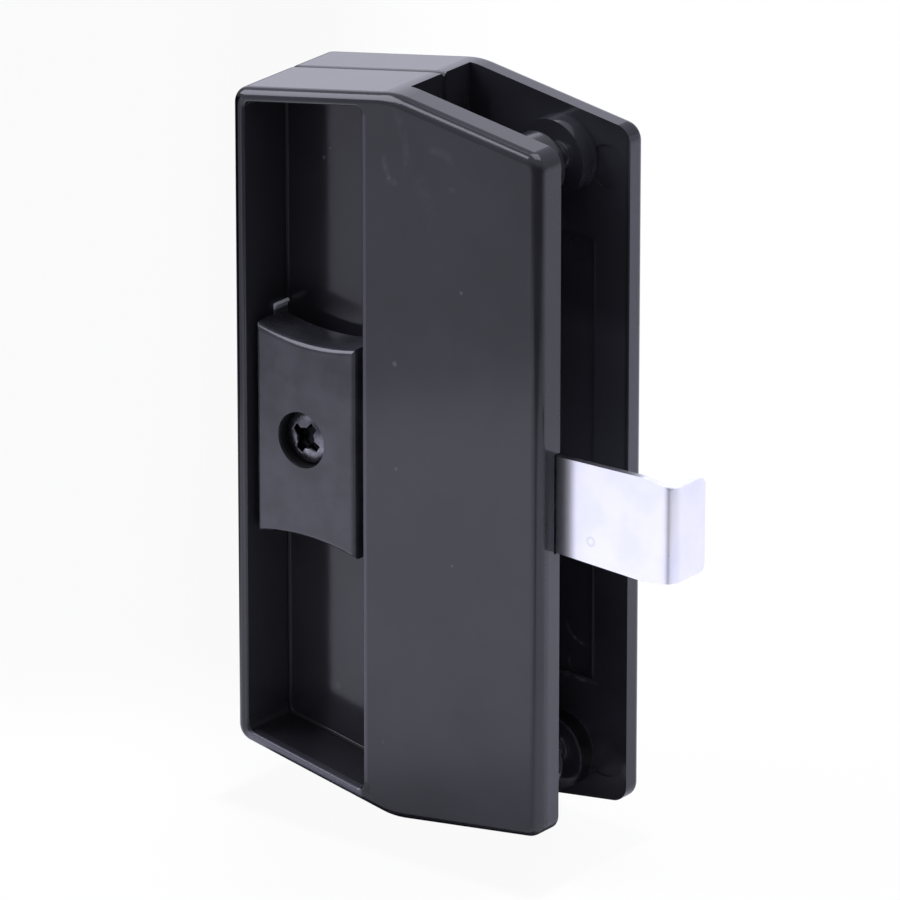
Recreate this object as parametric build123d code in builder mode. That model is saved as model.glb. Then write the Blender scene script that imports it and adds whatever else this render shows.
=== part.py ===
from build123d import *
import math
import os

# Sliding screen door latch and pull, in millimetres.
# Two moulded housings clamp the stile of a sliding screen door between their plates.
# A slide block caught between the housings carries a button on each side and the steel latch strip.
# The origin is the middle of the closed end of the slot that takes the door's edge.
# +X points at the hook, +Y from the front plate to the back plate, +Z up.

# Outline seen from the front
grip_width = 28.3
front_plate_reach = 26.3
back_plate_reach = 28.1
left_height = 98.0
bend_height = 108.4
front_end_height = 100.8
left_corner = 2.5
bend_rounding = 12.0
front_end_corner = 2.5
back_end_corner = 2.6

# Depths from front to back
front_plate_thickness = 4.8
stile_space = 13.2
back_plate_thickness = 3.2
front_shell_depth = 12.2
front_edge_rounding = 1.5
back_edge_rounding = 1.2
seam_chamfer = 0.6

# Finger cups
grip_wall = 2.3
cup_rim = 2.0
land_width = 5.0
cup_corner = 1.0
front_cup_depth = 9.5
back_cup_depth = 4.5
floor_thickness = 1.5
cup_foot_bevel = 0.3
rim_rounding_share = 0.9
back_rim_bevel = 0.3

# Hollow of the front plate and coring of the land beside the slot
front_skin = 1.3
plate_rim = 2.0
rib_thickness = 1.2
cross_rib_height = 27.0
core_width = 1.8
core_end_wall = 4.0

# Screws and the posts they clamp
screw_spacing = 88.9
screw_from_end = 9.6
post_diameter = 9.4
post_length = 7.2
pad_diameter = 11.4
pad_height = 3.3
screw_diameter = 4.0
screw_clearance = 0.2
thread_clearance = 0.05
head_diameter = 7.4
head_height = 1.7
head_crown_width = 1.0
head_crown_height = 0.5
head_clearance = 0.45
cross_span = 4.6
cross_wing = 1.0
cross_depth = 1.2
cross_taper = 12.0
button_cross_turn = 57.0
mounting_cross_turn = 20.0
mounting_head_drop = 0.4
mounting_screw_length = 11.0
screw_point = 0.6

# Slide block and its guides
screw_offset = 0.75
latch_drop = 1.1
travel_left = 0.5
travel_right = 1.5
tongue_length = 6.0
tongue_thickness = 3.0
running_clearance = 0.05
guide_length = 3.2
guide_wall = 1.5
end_float = 0.25
block_width = 10.4
block_height = 15.8
block_corner = 1.2
window_clearance = 0.4
block_end_gap = 0.7
barrel_diameter = 6.4
barrel_clearance = 0.1
barrel_end_gap = 0.4

# Latch strip
strip_thickness = 1.0
strip_root_height = 14.3
strip_flare = 1.0
strip_taper = 1.3
strip_reach = 20.4
strip_wide_reach = 15.1
strip_leg = 7.3
strip_bend = 0.8
strip_tail = 6.0
strip_corner = 1.2
strip_clearance = 0.25

# Buttons
button_left_gap = 1.1
button_right_gap = 2.0
button_height = 31.6
button_dish = 1.15
button_recess = 0.9
front_button_depth = 6.4
back_button_depth = 2.7
button_wall = 1.6
button_face = 1.6
front_button_edge = 0.9
back_button_edge = 0.4
back_grip_edge = 1.5

# Leaf spring
spring_thickness = 0.25
spring_width = 2.9
spring_bow = 0.25
spring_length = 33.2
spring_gap = 0.02
spring_curl = 0.3

# Marks on the inner face of the back plate
relief_depth = 0.4
relief_reach = 21.9
relief_height = 66.0
mark_depth = 0.2
large_mark = 6.4
small_mark = 3.8
large_mark_reach = 24.2
large_mark_height = 88.0
small_mark_reach = 19.4
small_mark_height = 62.0

# Depth stations, worked out from the sizes above
y_front_inner = -stile_space / 2
y_back_inner = stile_space / 2
y_front = y_front_inner - front_plate_thickness
y_back = y_back_inner + back_plate_thickness
y_seam = y_front + front_shell_depth
y_front_floor = y_front + front_cup_depth
y_back_floor = y_back - back_cup_depth
y_strip_back = y_front_inner
y_strip_front = y_strip_back - strip_thickness
y_front_button = y_front + button_recess
y_back_button = y_back - button_recess
y_block_back = y_back_floor + block_end_gap
y_post_end = y_front_inner + post_length
front_rim_rounding = rim_rounding_share * (cup_rim - front_edge_rounding)

# Places across the front
x_left = -grip_width
x_cup_left = x_left + grip_wall
x_cup_right = -land_width
x_button_left = x_cup_left + button_left_gap
x_button_right = x_cup_right - button_right_gap
x_latch = (x_button_left + x_button_right) / 2 - screw_offset
x_strip_tip = front_plate_reach + strip_reach
x_strip_wide = front_plate_reach + strip_wide_reach
z_latch = -latch_drop
screw_reach = front_plate_reach - screw_from_end
strip_wide_height = strip_root_height + strip_flare
strip_tip_height = strip_wide_height - strip_taper

BACKWARDS = (0, 1, 0)
cut_overrun = 0.5


def half_height(x):
    """Half the outline's height at x: it rises from the left side to the bend at x = 0, then falls."""
    if x < 0:
        return (bend_height + (left_height - bend_height) * -x / grip_width) / 2
    return (bend_height + (front_end_height - bend_height) * x / front_plate_reach) / 2


def facing(y):
    """A sketch plane that faces the front at depth y, with local x along +X and local y along +Z."""
    return Plane.XZ.offset(-y)


def outline(y, corners, inset=0.0):
    """The housing's outline at depth y between the first and last (x, corner radius) of corners."""
    upper = [(x, half_height(x) - inset) for x, radius in corners]
    lower = [(x, -z) for x, z in reversed(upper)]
    with BuildSketch(facing(y)) as face:
        with BuildLine():
            Polyline(*upper, *lower, close=True)
        make_face()
        for x, radius in corners:
            fillet(face.vertices().filter_by_position(Axis.X, x - 0.01, x + 0.01), radius)
    return face.sketch


def button_outline(y, inset=0.0):
    """A button's face: straight sides and hollowed top and bottom ends, drawn inset from its edge."""
    left, right = x_button_left + inset, x_button_right - inset
    middle = (left + right) / 2
    half = button_height / 2 - inset
    with BuildSketch(facing(y)) as face:
        with BuildLine():
            Line((left, z_latch - half), (left, z_latch + half))
            ThreePointArc(
                (left, z_latch + half), (middle, z_latch + half - button_dish), (right, z_latch + half)
            )
            Line((right, z_latch + half), (right, z_latch - half))
            ThreePointArc(
                (right, z_latch - half), (middle, z_latch - half + button_dish), (left, z_latch - half)
            )
        make_face()
    return face.sketch


def circles(y, diameter, places):
    """Circles of one diameter at depth y, centred on each (x, z) of places."""
    with BuildSketch(facing(y)) as face:
        with Locations(*places):
            Circle(diameter / 2)
    return face.sketch


def rectangle(y, x_low, x_high, z_low, z_high, corner=0.0):
    """A rectangle at depth y, with rounded corners where a corner radius is given."""
    with BuildSketch(facing(y)) as face:
        with Locations(((x_low + x_high) / 2, (z_low + z_high) / 2)):
            if corner:
                RectangleRounded(x_high - x_low, z_high - z_low, corner)
            else:
                Rectangle(x_high - x_low, z_high - z_low)
    return face.sketch


def pan_head_screw(seat, length, turn):
    """A pan head screw: the head stands on the seat plane and the shank runs behind it."""
    with BuildPart() as screw:
        with BuildSketch(seat):
            Circle(head_diameter / 2)
        extrude(amount=head_height)
        along = Axis(seat.origin, seat.z_dir)
        chamfer(screw.faces().sort_by(along)[-1].edges(), head_crown_height, head_crown_width)
        with BuildSketch(seat):
            Circle(screw_diameter / 2)
        extrude(amount=-length)
        chamfer(screw.faces().sort_by(along)[0].edges(), screw_point)
        with BuildSketch(seat.offset(head_height)):
            Rectangle(cross_span, cross_wing, rotation=turn)
            Rectangle(cross_wing, cross_span, rotation=turn)
        extrude(amount=-cross_depth, taper=cross_taper, mode=Mode.SUBTRACT)
    return screw


screw_places = [(screw_reach, screw_spacing / 2), (screw_reach, -screw_spacing / 2)]
latch_place = [(x_latch, z_latch)]
channel_half = strip_root_height / 2 + strip_clearance
y_channel = y_strip_front - strip_clearance
pilot_diameter = screw_diameter + 2 * thread_clearance
shank_hole = screw_diameter + 2 * screw_clearance

# Window that the slide block moves in, and the guides of its tongues
window_left = x_latch - block_width / 2 - travel_left - window_clearance
window_right = x_latch + block_width / 2 + travel_right + window_clearance
window_half_z = block_height / 2 + window_clearance
guide_start = window_half_z + end_float
guide_middle = guide_start + guide_length / 2
guide_left = x_latch - tongue_length / 2 - travel_left - end_float
guide_right = x_latch + tongue_length / 2 + travel_right + end_float
groove_width = tongue_thickness + 2 * running_clearance

# Front housing: the grip, the finger cup and the plate that lies on the front of the stile
with BuildPart() as front_housing:
    front_corners = [(x_left, left_corner), (0.0, bend_rounding), (front_plate_reach, front_end_corner)]
    extrude(outline(y_front, front_corners), amount=front_shell_depth, dir=BACKWARDS)
    seam_face = front_housing.faces().sort_by(Axis.Y)[-1]
    chamfer(seam_face.edges(), seam_chamfer)
    fillet(front_housing.faces().sort_by(Axis.Y)[0].edges(), front_edge_rounding)
    # Space for the stile behind the plate
    with Locations((0, y_front_inner, 0)):
        Box(
            front_plate_reach + stile_space,
            stile_space,
            bend_height + stile_space,
            align=(Align.MIN, Align.MIN, Align.CENTER),
            mode=Mode.SUBTRACT,
        )
    # Finger cup, with a rounded rim and a bevelled foot
    cup_corners = [(x_cup_left, cup_corner), (x_cup_right, cup_corner)]
    extrude(
        outline(y_front, cup_corners, cup_rim), amount=front_cup_depth, dir=BACKWARDS, mode=Mode.SUBTRACT
    )
    fillet(front_housing.faces().sort_by(Axis.Y)[0].inner_wires()[0].edges(), front_rim_rounding)
    cup_floor = front_housing.faces().filter_by_position(Axis.Y, y_front_floor - 0.01, y_front_floor + 0.01)[0]
    chamfer(cup_floor.outer_wire().edges(), cup_foot_bevel)
    # Hollow behind the cup's floor, open at the seam
    y_floor_back = y_front_floor + floor_thickness
    extrude(
        outline(y_floor_back, cup_corners, cup_rim),
        amount=y_seam - y_floor_back,
        dir=BACKWARDS,
        mode=Mode.SUBTRACT,
    )
    # Coring of the land between the cup and the slot
    x_core = -land_width / 2
    core_half = half_height(x_core) - core_end_wall
    y_core = y_front + front_plate_thickness / 2
    extrude(
        rectangle(y_core, x_core - core_width / 2, x_core + core_width / 2, -core_half, core_half),
        amount=y_seam - y_core,
        dir=BACKWARDS,
        mode=Mode.SUBTRACT,
    )
    # Hollow of the plate, open towards the stile
    y_skin = y_front + front_skin
    hollow_corners = [(0.0, cup_corner), (front_plate_reach - plate_rim, cup_corner)]
    extrude(
        outline(y_skin, hollow_corners, plate_rim),
        amount=y_front_inner - y_skin,
        dir=BACKWARDS,
        mode=Mode.SUBTRACT,
    )
    # Guide ribs beside the strip, and cross ribs above and below them
    guide = channel_half + rib_thickness / 2
    for z_rib in (z_latch - guide, z_latch + guide, -cross_rib_height, cross_rib_height):
        extrude(
            rectangle(
                y_skin, 0.0, front_plate_reach - plate_rim, z_rib - rib_thickness / 2, z_rib + rib_thickness / 2
            ),
            amount=y_front_inner - y_skin,
            dir=BACKWARDS,
        )
    # Screw posts that pass through the stile
    extrude(circles(y_skin, post_diameter, screw_places), amount=y_post_end - y_skin, dir=BACKWARDS)
    # Guides behind the floor
    for side in (-1, 1):
        z_guide = z_latch + side * guide_middle
        extrude(
            rectangle(
                y_floor_back,
                guide_left - guide_wall,
                guide_right + guide_wall,
                z_guide - guide_length / 2,
                z_guide + guide_length / 2,
            ),
            amount=y_seam - y_floor_back,
            dir=BACKWARDS,
        )
        with BuildSketch(Plane.XY.offset(z_guide)):
            with Locations(((guide_left + guide_right) / 2, y_seam)):
                Rectangle(guide_right - guide_left, groove_width)
        extrude(amount=guide_length / 2 + end_float, both=True, mode=Mode.SUBTRACT)
    # Window for the slide block
    extrude(
        rectangle(
            y_front_floor,
            window_left,
            window_right,
            z_latch - window_half_z,
            z_latch + window_half_z,
            block_corner,
        ),
        amount=y_seam - y_front_floor,
        dir=BACKWARDS,
        mode=Mode.SUBTRACT,
    )
    # Tunnel for the strip through the land, and its notch in the plate's end wall
    extrude(
        rectangle(
            y_channel, x_cup_right - cut_overrun, cut_overrun, z_latch - channel_half, z_latch + channel_half
        ),
        amount=y_strip_back + strip_clearance - y_channel,
        dir=BACKWARDS,
        mode=Mode.SUBTRACT,
    )
    extrude(
        rectangle(
            y_channel,
            front_plate_reach - plate_rim - cut_overrun,
            front_plate_reach + cut_overrun,
            z_latch - channel_half,
            z_latch + channel_half,
        ),
        amount=y_front_inner - y_channel,
        dir=BACKWARDS,
        mode=Mode.SUBTRACT,
    )
    # Screw holes in the posts
    y_pilot = y_post_end - mounting_screw_length
    extrude(
        circles(y_pilot, pilot_diameter, screw_places),
        amount=mounting_screw_length,
        dir=BACKWARDS,
        mode=Mode.SUBTRACT,
    )
front_housing.part.label = "front_housing"

# Back housing: the shallow cup on the other side and the plate that lies on the back of the stile
with BuildPart() as back_housing:
    back_corners = [(x_left, left_corner), (0.0, bend_rounding), (back_plate_reach, back_end_corner)]
    extrude(outline(y_seam, back_corners), amount=y_back - y_seam, dir=BACKWARDS)
    chamfer(back_housing.faces().sort_by(Axis.Y)[0].edges(), seam_chamfer)
    fillet(back_housing.faces().sort_by(Axis.Y)[-1].edges(), back_edge_rounding)
    with Locations((0, y_back_inner, 0)):
        Box(
            back_plate_reach + stile_space,
            stile_space,
            bend_height + stile_space,
            align=(Align.MIN, Align.MAX, Align.CENTER),
            mode=Mode.SUBTRACT,
        )
    # Finger cup of the back
    extrude(
        outline(y_back_floor, cup_corners, cup_rim), amount=back_cup_depth, dir=BACKWARDS, mode=Mode.SUBTRACT
    )
    chamfer(back_housing.faces().sort_by(Axis.Y)[-1].inner_wires()[0].edges(), back_rim_bevel)
    back_floor = back_housing.faces().filter_by_position(Axis.Y, y_back_floor - 0.01, y_back_floor + 0.01)[0]
    chamfer(back_floor.outer_wire().edges(), cup_foot_bevel)
    # Hollow in front of the cup's floor, open at the seam
    y_floor_front = y_back_floor - floor_thickness
    extrude(
        outline(y_seam, cup_corners, cup_rim),
        amount=y_floor_front - y_seam,
        dir=BACKWARDS,
        mode=Mode.SUBTRACT,
    )
    extrude(
        rectangle(y_seam, x_core - core_width / 2, x_core + core_width / 2, -core_half, core_half),
        amount=y_back_floor - y_seam,
        dir=BACKWARDS,
        mode=Mode.SUBTRACT,
    )
    # Guides in front of the floor
    for side in (-1, 1):
        z_guide = z_latch + side * guide_middle
        extrude(
            rectangle(
                y_seam,
                guide_left - guide_wall,
                guide_right + guide_wall,
                z_guide - guide_length / 2,
                z_guide + guide_length / 2,
            ),
            amount=y_floor_front - y_seam,
            dir=BACKWARDS,
        )
        with BuildSketch(Plane.XY.offset(z_guide)):
            with Locations(((guide_left + guide_right) / 2, y_seam)):
                Rectangle(guide_right - guide_left, groove_width)
        extrude(amount=guide_length / 2 + end_float, both=True, mode=Mode.SUBTRACT)
    # Window for the slide block
    extrude(
        rectangle(
            y_seam,
            window_left,
            window_right,
            z_latch - window_half_z,
            z_latch + window_half_z,
            block_corner,
        ),
        amount=y_back_floor - y_seam,
        dir=BACKWARDS,
        mode=Mode.SUBTRACT,
    )
    # Pads round the screw holes, the holes and their counterbores
    extrude(circles(y_back_inner - pad_height, pad_diameter, screw_places), amount=pad_height, dir=BACKWARDS)
    y_head_seat = y_back - mounting_head_drop - head_height
    extrude(
        circles(y_back_inner - pad_height, shank_hole, screw_places),
        amount=y_back - y_back_inner + pad_height,
        dir=BACKWARDS,
        mode=Mode.SUBTRACT,
    )
    extrude(
        circles(y_head_seat, head_diameter + 2 * head_clearance, screw_places),
        amount=y_back - y_head_seat,
        dir=BACKWARDS,
        mode=Mode.SUBTRACT,
    )
    # Shallow relief and the marks of the ejector pins on the inner face
    extrude(
        rectangle(y_back_inner, 0.0, relief_reach, -relief_height / 2, relief_height / 2),
        amount=relief_depth,
        dir=BACKWARDS,
        mode=Mode.SUBTRACT,
    )
    for side in (-1, 1):
        large_place = [(large_mark_reach, side * large_mark_height / 2)]
        small_place = [(small_mark_reach, side * small_mark_height / 2)]
        extrude(
            circles(y_back_inner, large_mark, large_place), amount=mark_depth, dir=BACKWARDS, mode=Mode.SUBTRACT
        )
        extrude(
            circles(y_back_inner + relief_depth, small_mark, small_place),
            amount=mark_depth,
            dir=BACKWARDS,
            mode=Mode.SUBTRACT,
        )
back_housing.part.label = "back_housing"

# Slide block: a hollow block on two flat tongues, caught between the housings
with BuildPart() as slide_block:
    extrude(
        rectangle(
            y_strip_back,
            x_latch - block_width / 2,
            x_latch + block_width / 2,
            z_latch - block_height / 2,
            z_latch + block_height / 2,
            block_corner,
        ),
        amount=y_block_back - y_strip_back,
        dir=BACKWARDS,
    )
    with BuildSketch(Plane.XY.offset(z_latch)):
        with Locations((x_latch, y_seam)):
            Rectangle(tongue_length, tongue_thickness)
    extrude(amount=guide_start + guide_length, both=True)
    extrude(
        circles(y_strip_back, barrel_diameter + 2 * barrel_clearance, latch_place),
        amount=y_block_back - y_strip_back,
        dir=BACKWARDS,
        mode=Mode.SUBTRACT,
    )
slide_block.part.label = "slide_block"

# Latch strip: flat steel, clamped under the front button, with its end bent back as a hook
with BuildPart() as latch_strip:
    x_tail = x_latch - strip_tail
    with BuildSketch(Plane.XY.offset(z_latch - strip_wide_height / 2)) as bent:
        with BuildLine():
            Polyline(
                (x_tail, y_strip_front),
                (x_strip_tip, y_strip_front),
                (x_strip_tip, y_strip_front + strip_leg),
                (x_strip_tip - strip_thickness, y_strip_front + strip_leg),
                (x_strip_tip - strip_thickness, y_strip_back),
                (x_tail, y_strip_back),
                close=True,
            )
        make_face()
        outer = bent.vertices().filter_by_position(Axis.X, x_strip_tip - 0.01, x_strip_tip + 0.01)
        fillet(outer.sort_by(Axis.Y)[0], strip_bend + strip_thickness)
        x_inside = x_strip_tip - strip_thickness
        inner = bent.vertices().filter_by_position(Axis.X, x_inside - 0.01, x_inside + 0.01)
        fillet(inner.sort_by(Axis.Y)[0], strip_bend)
    extrude(amount=strip_wide_height)
    with BuildSketch(facing(y_strip_front)):
        with BuildLine():
            Polyline(
                (x_tail, z_latch - strip_root_height / 2),
                (front_plate_reach, z_latch - strip_root_height / 2),
                (x_strip_wide, z_latch - strip_wide_height / 2),
                (x_strip_tip, z_latch - strip_tip_height / 2),
                (x_strip_tip, z_latch + strip_tip_height / 2),
                (x_strip_wide, z_latch + strip_wide_height / 2),
                (front_plate_reach, z_latch + strip_root_height / 2),
                (x_tail, z_latch + strip_root_height / 2),
                close=True,
            )
        make_face()
    extrude(amount=strip_leg, dir=BACKWARDS, mode=Mode.INTERSECT)
    leg_edges = latch_strip.faces().sort_by(Axis.Y)[-1].edges().sort_by(Axis.Z)
    fillet([leg_edges[0], leg_edges[-1]], strip_corner)
    tail_edges = latch_strip.faces().sort_by(Axis.X)[0].edges().sort_by(Axis.Z)
    fillet([tail_edges[0], tail_edges[-1]], strip_corner)
    extrude(
        circles(y_strip_front, shank_hole, latch_place),
        amount=strip_thickness,
        dir=BACKWARDS,
        mode=Mode.SUBTRACT,
    )
latch_strip.part.label = "latch_strip"

# Front button: a cap over the strip, held by the screw
with BuildPart() as front_button:
    extrude(button_outline(y_front_button), amount=front_button_depth, dir=BACKWARDS)
    fillet(front_button.faces().sort_by(Axis.Y)[0].edges(), front_button_edge)
    y_cap = y_front_button + button_face
    extrude(
        button_outline(y_cap, button_wall),
        amount=front_button_depth - button_face,
        dir=BACKWARDS,
        mode=Mode.SUBTRACT,
    )
    # Block that holds the strip down, and the way out for the strip
    extrude(
        rectangle(
            y_cap,
            x_button_left + button_wall,
            x_button_right - button_wall,
            z_latch - strip_root_height / 2,
            z_latch + strip_root_height / 2,
        ),
        amount=y_strip_front - y_cap,
        dir=BACKWARDS,
    )
    extrude(
        rectangle(
            y_strip_front,
            x_button_right - button_wall,
            x_button_right,
            z_latch - channel_half,
            z_latch + channel_half,
        ),
        amount=front_button_depth,
        dir=BACKWARDS,
        mode=Mode.SUBTRACT,
    )
    y_button_seat = y_strip_front - (strip_clearance + thread_clearance)
    extrude(
        circles(y_front_button, head_diameter + 2 * head_clearance, latch_place),
        amount=y_button_seat - y_front_button,
        dir=BACKWARDS,
        mode=Mode.SUBTRACT,
    )
    extrude(
        circles(y_front_button, shank_hole, latch_place),
        amount=front_button_depth,
        dir=BACKWARDS,
        mode=Mode.SUBTRACT,
    )
front_button.part.label = "front_button"

# Back button: a shallow cap on a barrel that passes through the slide block and takes the screw
with BuildPart() as back_button:
    y_skirt = y_back_button - back_button_depth
    extrude(button_outline(y_skirt), amount=back_button_depth, dir=BACKWARDS)
    far_edges = back_button.faces().sort_by(Axis.Y)[-1].edges()
    fillet(far_edges.sort_by(Axis.X)[-1], back_grip_edge)
    rear_edges = back_button.faces().sort_by(Axis.Y)[-1].edges()
    chamfer(rear_edges.sort_by(Axis.X)[:-1], back_button_edge)
    extrude(
        button_outline(y_skirt, button_wall),
        amount=back_button_depth - button_face,
        dir=BACKWARDS,
        mode=Mode.SUBTRACT,
    )
    y_barrel = y_strip_back + barrel_end_gap
    extrude(
        circles(y_barrel, barrel_diameter, latch_place),
        amount=y_back_button - button_face - y_barrel,
        dir=BACKWARDS,
    )
    extrude(
        circles(y_block_back, block_width, latch_place),
        amount=y_back_button - button_face - y_block_back,
        dir=BACKWARDS,
    )
    extrude(
        circles(y_barrel, pilot_diameter, latch_place),
        amount=y_block_back - y_barrel,
        dir=BACKWARDS,
        mode=Mode.SUBTRACT,
    )
back_button.part.label = "back_button"

# Screw through the front button, the strip and the barrel
front_seat = Plane(origin=(x_latch, y_button_seat, z_latch), x_dir=(1, 0, 0), z_dir=(0, -1, 0))
button_screw = pan_head_screw(front_seat, y_block_back - y_button_seat - screw_point, button_cross_turn)
button_screw.part.label = "button_screw"

# Leaf spring: stands between the cup's left wall and the button, bowed towards it, with curled ends
with BuildPart() as leaf_spring:
    y_spring = y_front_floor - cup_foot_bevel - spring_gap - spring_width
    near = x_cup_left + spring_gap
    top, bottom = z_latch + spring_length / 2, z_latch - spring_length / 2
    with BuildSketch(facing(y_spring)):
        with BuildLine():
            ThreePointArc((near, bottom), (near + spring_bow, z_latch), (near, top))
            Line((near, top), (near + spring_thickness, top))
            ThreePointArc(
                (near + spring_thickness, top),
                (near + spring_bow + spring_thickness, z_latch),
                (near + spring_thickness, bottom),
            )
            Line((near + spring_thickness, bottom), (near, bottom))
        make_face()
        with Locations((near + spring_curl, top), (near + spring_curl, bottom)):
            Circle(spring_curl)
    extrude(amount=spring_width, dir=BACKWARDS)
leaf_spring.part.label = "leaf_spring"

# Mounting screws, from the back plate into the posts
mounting_length = y_head_seat - y_post_end + mounting_screw_length - screw_point
mounting_screws = []
for x_screw, z_screw in screw_places:
    back_seat = Plane(origin=(x_screw, y_head_seat, z_screw), x_dir=(1, 0, 0), z_dir=(0, 1, 0))
    mounting_screws.append(pan_head_screw(back_seat, mounting_length, mounting_cross_turn))
upper_mounting_screw, lower_mounting_screw = mounting_screws
upper_mounting_screw.part.label = "upper_mounting_screw"
lower_mounting_screw.part.label = "lower_mounting_screw"

os.makedirs("parts", exist_ok=True)
export_step(front_housing.part, "parts/front_housing.step")
export_step(back_housing.part, "parts/back_housing.step")
export_step(slide_block.part, "parts/slide_block.step")
export_step(latch_strip.part, "parts/latch_strip.step")
export_step(front_button.part, "parts/front_button.step")
export_step(back_button.part, "parts/back_button.step")
export_step(button_screw.part, "parts/button_screw.step")
export_step(leaf_spring.part, "parts/leaf_spring.step")
export_step(upper_mounting_screw.part, "parts/upper_mounting_screw.step")
export_step(lower_mounting_screw.part, "parts/lower_mounting_screw.step")
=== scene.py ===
import math

import bpy
import numpy as np
from bpy.props import FloatProperty, FloatVectorProperty, PointerProperty
from bpy.types import Operator, Panel, PropertyGroup
from mathutils import Matrix, Vector


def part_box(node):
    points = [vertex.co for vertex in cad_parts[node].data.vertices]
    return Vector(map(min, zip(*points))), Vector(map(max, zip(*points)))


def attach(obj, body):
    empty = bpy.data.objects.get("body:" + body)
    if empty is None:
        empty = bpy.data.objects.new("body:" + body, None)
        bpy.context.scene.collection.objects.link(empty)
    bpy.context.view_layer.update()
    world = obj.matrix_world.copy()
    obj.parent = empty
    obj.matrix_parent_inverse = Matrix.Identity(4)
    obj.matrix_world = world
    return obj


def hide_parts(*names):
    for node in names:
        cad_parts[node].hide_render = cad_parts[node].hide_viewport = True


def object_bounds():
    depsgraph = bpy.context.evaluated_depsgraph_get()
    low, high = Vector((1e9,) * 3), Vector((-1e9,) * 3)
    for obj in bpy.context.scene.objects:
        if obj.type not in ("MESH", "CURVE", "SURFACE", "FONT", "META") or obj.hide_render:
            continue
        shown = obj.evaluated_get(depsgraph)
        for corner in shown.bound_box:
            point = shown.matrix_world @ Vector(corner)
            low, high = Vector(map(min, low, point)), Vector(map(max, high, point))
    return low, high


bl_info = {
    "name": "Sliding Screen Door Latch",
    "version": (1, 0, 0),
    "blender": (4, 5, 0),
    "location": "3D View > Sidebar > Screen Latch",
    "description": "Dresses a screen door latch and pull: moulded housings, plated strip, screws and stage",
    "category": "Object",
}

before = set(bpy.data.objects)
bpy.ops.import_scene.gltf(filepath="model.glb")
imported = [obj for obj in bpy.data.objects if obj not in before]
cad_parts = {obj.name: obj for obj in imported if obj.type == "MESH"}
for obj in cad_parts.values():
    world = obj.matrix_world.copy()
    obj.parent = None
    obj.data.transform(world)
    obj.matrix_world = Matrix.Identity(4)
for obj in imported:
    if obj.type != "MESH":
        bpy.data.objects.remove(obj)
CAD_BOX = [list(corner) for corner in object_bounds()]

# Directions of the model, and those square to the cup's sloping lower and upper ends
ACROSS, DEPTH, UP = (1, 0, 0), (0, 1, 0), (0, 0, 1)
LOWER_SLOPE, UPPER_SLOPE = (0.178, 0, 0.984), (-0.178, 0, 0.984)

# Places in metres: depths of the faces that carry marks, and the right ends of the two housings
PLATE_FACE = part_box("front_housing")[0].y
SEAM_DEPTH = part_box("front_housing")[1].y
STRIP_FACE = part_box("latch_strip")[0].y
CUP_FLOOR = -0.0019
BACK_INSIDE = 0.0066
FRONT_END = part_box("front_housing")[1].x
BACK_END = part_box("back_housing")[1].x

# Specks of dust on the front housing, each (place, radius)
DUST = (
    ((0.0009, PLATE_FACE, 0.0148), 0.0004),
    ((0.0011, PLATE_FACE, -0.0008), 0.00025),
    ((0.0111, PLATE_FACE, -0.0129), 0.0002),
    ((-0.0013, PLATE_FACE, -0.0428), 0.00014),
    ((-0.0172, CUP_FLOOR, -0.0413), 0.0006),
    ((0.0127, PLATE_FACE, 0.028), 0.0003),
    ((-0.0193, CUP_FLOOR, 0.0381), 0.0003),
    ((-0.0182, CUP_FLOOR, 0.0397), 0.0002),
)

# Curved smears, each (middle, reach, centre of its arc, radius of its arc, width, strength)
SMEARS = (
    ((0.0027, PLATE_FACE, 0.048), 0.0055, (-0.0085, PLATE_FACE, 0.0455), 0.0116, 0.0011, 0.8),
    ((-0.0006, PLATE_FACE, 0.0434), 0.0022, (0.0034, PLATE_FACE, 0.0449), 0.0043, 0.0008, 1.2),
    ((0.0004, PLATE_FACE, 0.0415), 0.0012, (0.0004, PLATE_FACE, 0.0435), 0.002, 0.0009, 1.0),
    ((0.0093, PLATE_FACE, 0.0475), 0.0026, (0.0084, PLATE_FACE, 0.0437), 0.0041, 0.0011, 0.9),
    ((0.0111, PLATE_FACE, 0.0427), 0.0008, (0.0111, PLATE_FACE, 0.0436), 0.0009, 0.0006, 0.7),
    ((0.0062, PLATE_FACE, 0.0408), 0.0035, (0.0128, PLATE_FACE, 0.0441), 0.0074, 0.002, 0.4),
)
# Light arcs drawn as smears on the back housing's inside: the ring of a pin mark, and a painted highlight
# along the lower edge of the relief
PIN_MARK_AND_EDGE_HIGHLIGHT = (
    ((0.0183, BACK_INSIDE, -0.0272), 0.0028, (0.0206, BACK_INSIDE, -0.0246), 0.0037, 0.0004, 2.0),
    ((0.0199, BACK_INSIDE, -0.0335), 0.0032, (0.0199, BACK_INSIDE, 0.0165), 0.05, 0.0005, 2.0),
)

# Rings pressed into the strip's plating, each (centre, radius, width)
PRESS_MARKS = (
    ((0.0325, STRIP_FACE, -0.0051), 0.0006, 0.0003),
    ((0.0461, STRIP_FACE, 0.0062), 0.0006, 0.0003),
)

# Patches of painted light and shade, each (gain, added roughness, bands) and seen where all its bands meet.
# A band is (direction, place, half width, softness).
FRONT_FACE = (DEPTH, PLATE_FACE, 0.0012, 0.0003)
CUP_WIDTH = (ACROSS, -0.0155, 0.0115, 0.0005)
CUP_ENDS = ((LOWER_SLOPE, 0.0, 0.0516, 0.0004), (UPPER_SLOPE, 0.0, 0.0516, 0.0004))
# Painted shade along the seam between the housings, which is also made duller there
SEAM_SHADE = (0.1, 0.4, ((DEPTH, SEAM_DEPTH, 0.0003, 0.0003),))
# Painted highlight along the cup's right rim
RIGHT_RIM_HIGHLIGHT = (
    2.3,
    0.0,
    ((DEPTH, PLATE_FACE, 0.0007, 0.0003), (ACROSS, -0.0047, 0.0003, 0.0004), (UP, 0.0, 0.0498, 0.001)),
)
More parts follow.
